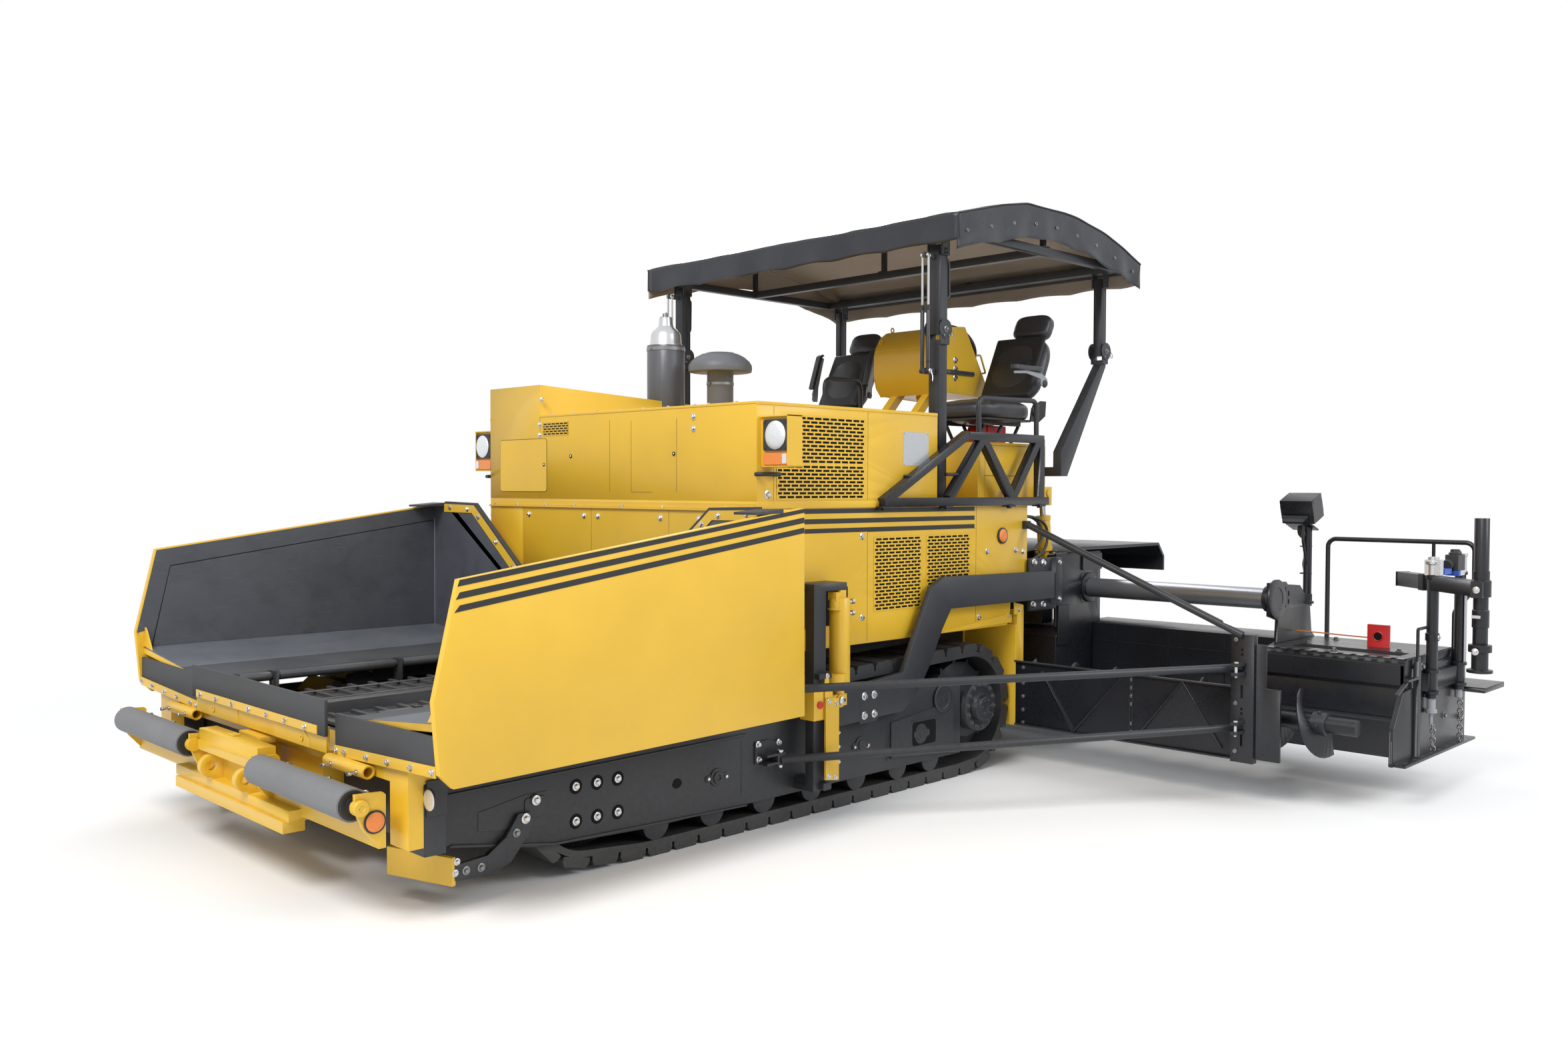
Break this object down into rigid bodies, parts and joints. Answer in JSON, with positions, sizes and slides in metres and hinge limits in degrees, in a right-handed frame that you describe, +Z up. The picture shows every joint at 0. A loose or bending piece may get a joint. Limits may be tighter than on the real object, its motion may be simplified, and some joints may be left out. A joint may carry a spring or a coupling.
{
  "type": "asphalt paver",
  "caption": "Tracked asphalt paver with a folding hopper, push rollers, augers, a towed extending screed, an operator deck and a folding canopy.",
  "frame": {"origin": "on the ground, midway between the foremost and rearmost points, on the machine's centre line", "axes": "+X forward to the hopper, +Y to the machine's left, +Z up"},
  "size_m": [6.23, 7.4718, 3.455],
  "materials": {
    "yellow": "satin",
    "black": "satin",
    "steel": "worn",
    "worn_steel": "worn",
    "rod": "polished",
    "rubber": "matte",
    "seat": "matte",
    "canopy": "matte",
    "plastic": "matte"
  },
  "bodies": {
    "machine": {"chassis": "black", "engine_block": "steel", "conveyor": "worn_steel", "deck": "yellow", "side_panels": "yellow", "hood": "yellow", "muffler": "black", "intake": "plastic", "head_lamps": "yellow", "front_frame": "yellow", "apron_centre": "rubber", "scrapers": "black", "rear_frame": "yellow", "tunnel_plates": "black", "brace_rods": "black", "leveling_rails": "black", "leveling_cylinders": "yellow", "seat_boxes": "yellow", "seats": "seat", "console": "yellow", "railings": "black", "canopy_lower_posts": "black", "track_left": "steel", "track_right": "steel", "track_frames": "black", "final_drives": "black"},
    "push_beam": {"push_beam": "yellow"},
    "push_roller_left": {"push_roller_left": "rubber"},
    "push_roller_right": {"push_roller_right": "rubber"},
    "wing_left": {"wing_left": "yellow", "apron_left": "rubber"},
    "wing_right": {"wing_right": "yellow", "apron_right": "rubber"},
    "auger_left": {"auger_left": "steel"},
    "auger_right": {"auger_right": "steel"},
    "tow_slider_left": {"tow_slider_left": "yellow"},
    "tow_slider_right": {"tow_slider_right": "yellow"},
    "screed": {"tow_arms": "black", "main_screed": "black", "screed_cover": "black"},
    "extension_left": {"extension_left": "black", "screed_end_left": "black"},
    "extension_right": {"extension_right": "black", "screed_end_right": "black"},
    "lift_barrels": {"lift_barrels": "black"},
    "lift_rods": {"lift_rods": "rod"},
    "canopy_front_posts": {"canopy_front_posts": "black"},
    "canopy_rear_posts": {"canopy_rear_posts": "black"},
    "canopy_roof": {"roof_frame": "black", "canopy_cover": "canopy"},
    "strut_barrels": {"strut_barrels": "black"},
    "strut_rods": {"strut_rods": "rod"},
    "steering_wheel": {"steering_wheel": "plastic"}
  },
  "joints": [
    {"name": "push_beam_swing", "type": "hinge", "parent": "machine", "child": "push_beam", "pos_m": [2.87, 0, 0.44], "axis": [0, 0, 1], "range_deg": [-3, 3]},
    {"name": "push_roller_left_spin", "type": "hinge", "parent": "push_beam", "child": "push_roller_left", "pos_m": [3.05, 0.8, 0.51], "axis": [0, 1, 0], "continuous": true},
    {"name": "push_roller_right_spin", "type": "hinge", "parent": "push_beam", "child": "push_roller_right", "pos_m": [3.05, -0.8, 0.51], "axis": [0, 1, 0], "continuous": true},
    {"name": "wing_left_fold", "type": "hinge", "parent": "machine", "child": "wing_left", "pos_m": [1.8, 0.74, 0.735], "axis": [1, 0, 0], "range_deg": [0, 60]},
    {"name": "wing_right_fold", "type": "hinge", "parent": "machine", "child": "wing_right", "pos_m": [1.8, -0.74, 0.735], "axis": [-1, 0, 0], "range_deg": [0, 60]},
    {"name": "auger_left_spin", "type": "hinge", "parent": "machine", "child": "auger_left", "pos_m": [-1.518, 1.6, 0.465], "axis": [0, 1, 0], "continuous": true},
    {"name": "auger_right_spin", "type": "hinge", "parent": "machine", "child": "auger_right", "pos_m": [-1.518, -1.6, 0.465], "axis": [0, 1, 0], "continuous": true},
    {"name": "tow_point_left_lift", "type": "slide", "parent": "machine", "child": "tow_slider_left", "axis": [0, 0, 1], "range_m": [-0.15, 0.04]},
    {"name": "tow_point_right_lift", "type": "slide", "parent": "machine", "child": "tow_slider_right", "axis": [0, 0, 1], "range_m": [-0.15, 0.04]},
    {"name": "screed_lower", "type": "hinge", "parent": "tow_slider_left", "child": "screed", "pos_m": [0.606, 0, 0.622], "axis": [0, 1, 0], "range_deg": [-3.8, 0]},
    {"name": "extension_left_slide", "type": "slide", "parent": "screed", "child": "extension_left", "axis": [0, 1, 0], "range_m": [-1.12, 0]},
    {"name": "extension_right_slide", "type": "slide", "parent": "screed", "child": "extension_right", "axis": [0, -1, 0], "range_m": [-1.12, 0]},
    {"name": "lift_barrel_swing", "type": "hinge", "parent": "screed", "child": "lift_barrels", "pos_m": [-1.785, 0, 1.25], "axis": [0, 1, 0], "range_deg": [-1, 6.5]},
    {"name": "lift_rod_slide", "type": "slide", "parent": "lift_barrels", "child": "lift_rods", "axis": [0.1129, 0, 0.9936], "range_m": [-0.01, 0.173]},
    {"name": "canopy_fold", "type": "hinge", "parent": "machine", "child": "canopy_front_posts", "pos_m": [-0.64, 0, 2.65], "axis": [0, 1, 0], "range_deg": [0, 60]},
    {"name": "canopy_rear_fold", "type": "hinge", "parent": "machine", "child": "canopy_rear_posts", "pos_m": [-2.36, 0, 2.65], "axis": [0, 1, 0], "range_deg": [-1, 61]},
    {"name": "canopy_roof_level", "type": "hinge", "parent": "canopy_front_posts", "child": "canopy_roof", "pos_m": [-0.64, 0, 3.11], "axis": [0, 1, 0], "range_deg": [-61, 1]},
    {"name": "strut_barrel_swing", "type": "hinge", "parent": "machine", "child": "strut_barrels", "pos_m": [-0.52, 0, 2.4], "axis": [0, 1, 0], "range_deg": [-1, 42]},
    {"name": "strut_rod_slide", "type": "slide", "parent": "strut_barrels", "child": "strut_rods", "axis": [0, 0, 1], "range_m": [-0.21, 0.005]},
    {"name": "steering_wheel_turn", "type": "hinge", "parent": "machine", "child": "steering_wheel", "pos_m": [-1.97987, 0.25, 2.72035], "axis": [-0.8387, 0, 0.5446], "range_deg": [-170, 170]}
  ],
  "couplings": [
    {"joint": "tow_point_right_lift", "follows": "tow_point_left_lift", "ratio": 1},
    {"joint": "lift_barrel_swing", "follows": "screed_lower", "ratio": -1.45},
    {"joint": "lift_rod_slide", "follows": "screed_lower", "m_per_rad": -2.4606},
    {"joint": "canopy_rear_fold", "follows": "canopy_fold", "ratio": 1},
    {"joint": "canopy_roof_level", "follows": "canopy_fold", "ratio": -1},
    {"joint": "strut_barrel_swing", "follows": "canopy_fold", "ratio": 0.6744},
    {"joint": "strut_rod_slide", "follows": "canopy_fold", "m_per_rad": -0.1929}
  ]
}
